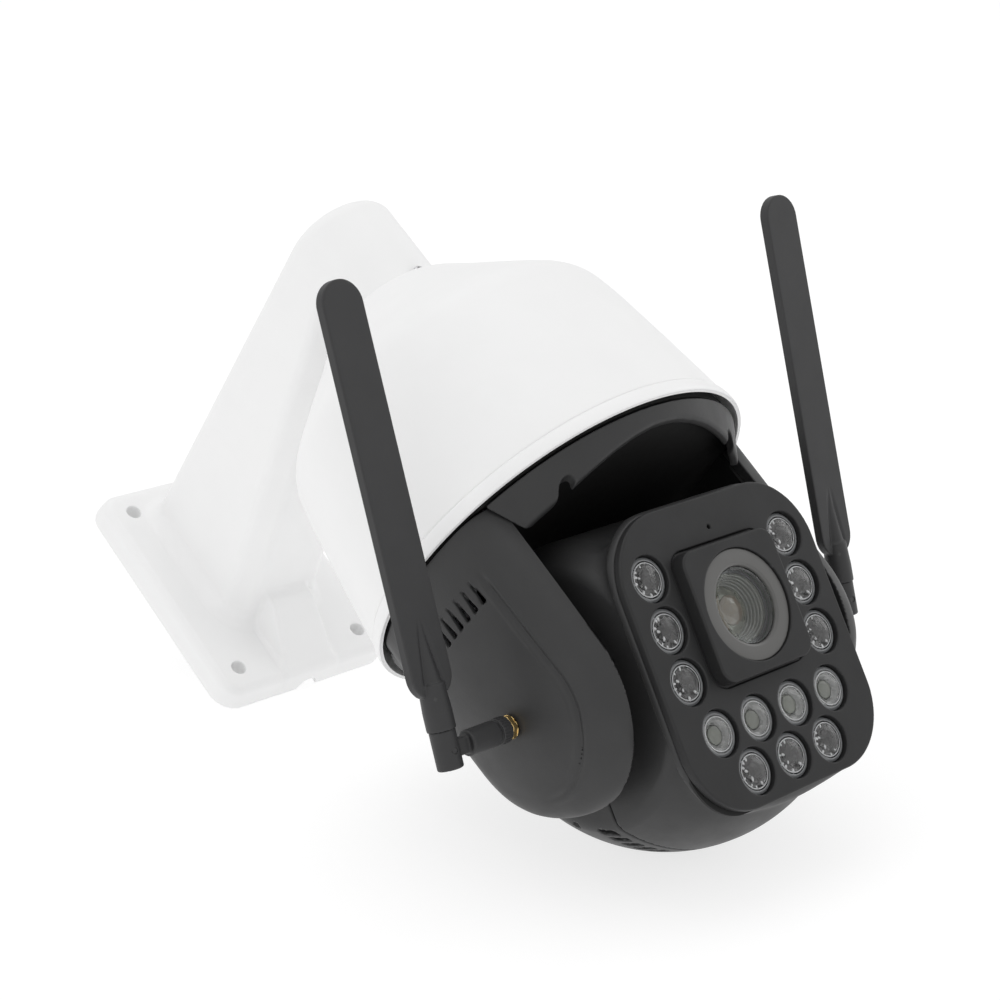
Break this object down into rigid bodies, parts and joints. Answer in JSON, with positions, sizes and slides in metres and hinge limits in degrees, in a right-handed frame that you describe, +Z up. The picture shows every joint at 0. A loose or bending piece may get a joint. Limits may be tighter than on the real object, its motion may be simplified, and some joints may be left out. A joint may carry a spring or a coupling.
{
  "type": "ptz camera",
  "caption": "Wall-mounted pan, tilt and zoom security camera with a round canopy, a yoke, a lamp-ringed lens head and two folding antennas.",
  "frame": {"origin": "centre of the wall plate back face", "axes": "+Z up, +Y into the wall, +X to the right seen from in front of the camera"},
  "size_m": [0.2325, 0.275, 0.3089],
  "materials": {
    "white_abs": "fine satin moulded plastic",
    "black_abs": "fine moulded texture",
    "antenna_plastic": "fine matte texture",
    "black_rubber": "matte",
    "steel": "zinc plated",
    "brass": "gold plated",
    "circuit_board": "solder mask",
    "motor_can": "drawn can",
    "drive_plastic": "acetal",
    "grey_ring": "frosted",
    "clear_glass": "coated",
    "coated_lens": "coated",
    "clear_acrylic": "moulded optic",
    "emitter": "phosphor",
    "black_metal": "black anodised",
    "heat_sink_metal": "extruded"
  },
  "bodies": {
    "mount": {"wall_bracket": "white_abs", "neck_screws": "steel", "neck_grommet": "black_rubber", "canopy": "white_abs", "rim_seal": "black_rubber", "chassis_plate": "steel", "chassis_screws": "steel", "pan_bearing": "steel", "board_pillars": "brass", "main_board": "circuit_board", "pan_motor": "motor_can", "pan_belt": "black_rubber"},
    "pan_drive": {"pan_motor_pulley": "drive_plastic"},
    "pan_yoke": {"yoke": "black_abs", "pulley_screws": "steel", "pan_pulley": "drive_plastic", "front_fascia": "black_abs", "rear_fascia": "black_abs", "left_cheek_cover": "black_abs", "right_cheek_cover": "black_abs", "cover_screws": "steel", "tilt_bushes": "brass", "tilt_motor": "motor_can", "tilt_belt": "black_rubber", "radio_board": "circuit_board", "antenna_jacks": "brass", "jack_nuts": "brass"},
    "tilt_drive": {"tilt_motor_pulley": "drive_plastic"},
    "tilt_head": {"left_tilt_shaft": "steel", "right_tilt_shaft": "steel", "tilt_pulley": "drive_plastic", "head_front_shell": "black_abs", "head_rear_shell": "black_abs", "head_screws": "steel", "panel_seal": "black_rubber", "face_panel": "black_abs", "lens_bezel": "black_abs", "window_ring": "grey_ring", "lens_window": "clear_glass", "lens_barrel": "black_metal", "front_lens": "coated_lens", "zoom_motor": "motor_can", "sensor_board": "circuit_board", "lamp_board": "circuit_board", "lamp_emitters": "emitter", "infrared_lenses": "clear_acrylic", "white_lamp_lenses": "clear_acrylic", "microphone": "motor_can", "heat_sink": "heat_sink_metal"},
    "zoom_group": {"zoom_carriage": "black_metal", "zoom_lens": "coated_lens"},
    "left_swivel": {"left_antenna_connector": "antenna_plastic"},
    "left_antenna": {"left_elbow_pin": "steel", "left_antenna_barrel": "antenna_plastic", "left_antenna_blade": "antenna_plastic"},
    "right_swivel": {"right_antenna_connector": "antenna_plastic"},
    "right_antenna": {"right_elbow_pin": "steel", "right_antenna_barrel": "antenna_plastic", "right_antenna_blade": "antenna_plastic"}
  },
  "joints": [
    {"name": "pan", "type": "hinge", "parent": "mount", "child": "pan_yoke", "pos_m": [0, -0.1743, -0.1196], "axis": [0, 0, 1], "range_deg": [-177, 177]},
    {"name": "pan_motor_spin", "type": "hinge", "parent": "mount", "child": "pan_drive", "pos_m": [0.05, -0.1743, -0.099], "axis": [0, 0, 1], "range_deg": [-710, 710]},
    {"name": "tilt", "type": "hinge", "parent": "pan_yoke", "child": "tilt_head", "pos_m": [0, -0.1743, -0.1816], "axis": [1, 0, 0], "range_deg": [-28.5, 66.5]},
    {"name": "tilt_motor_spin", "type": "hinge", "parent": "pan_yoke", "child": "tilt_drive", "pos_m": [-0.063, -0.1743, -0.1376], "axis": [1, 0, 0], "range_deg": [-86, 200]},
    {"name": "zoom", "type": "slide", "parent": "tilt_head", "child": "zoom_group", "axis": [0, -0.9171, -0.3987], "range_m": [0, 0.012]},
    {"name": "left_antenna_swivel", "type": "hinge", "parent": "pan_yoke", "child": "left_swivel", "pos_m": [-0.08, -0.1743, -0.1816], "axis": [-1, 0, 0], "continuous": true},
    {"name": "left_antenna_fold", "type": "hinge", "parent": "left_swivel", "child": "left_antenna", "pos_m": [-0.1075, -0.1743, -0.1816], "axis": [0, -0.829, -0.5592], "range_deg": [0, 90]},
    {"name": "right_antenna_swivel", "type": "hinge", "parent": "pan_yoke", "child": "right_swivel", "pos_m": [0.08, -0.1743, -0.1816], "axis": [1, 0, 0], "continuous": true},
    {"name": "right_antenna_fold", "type": "hinge", "parent": "right_swivel", "child": "right_antenna", "pos_m": [0.1075, -0.1743, -0.1816], "axis": [0, 0.788, 0.6157], "range_deg": [0, 90]}
  ],
  "couplings": [
    {"joint": "pan_motor_spin", "follows": "pan", "ratio": 4},
    {"joint": "tilt_motor_spin", "follows": "tilt", "ratio": 3}
  ]
}
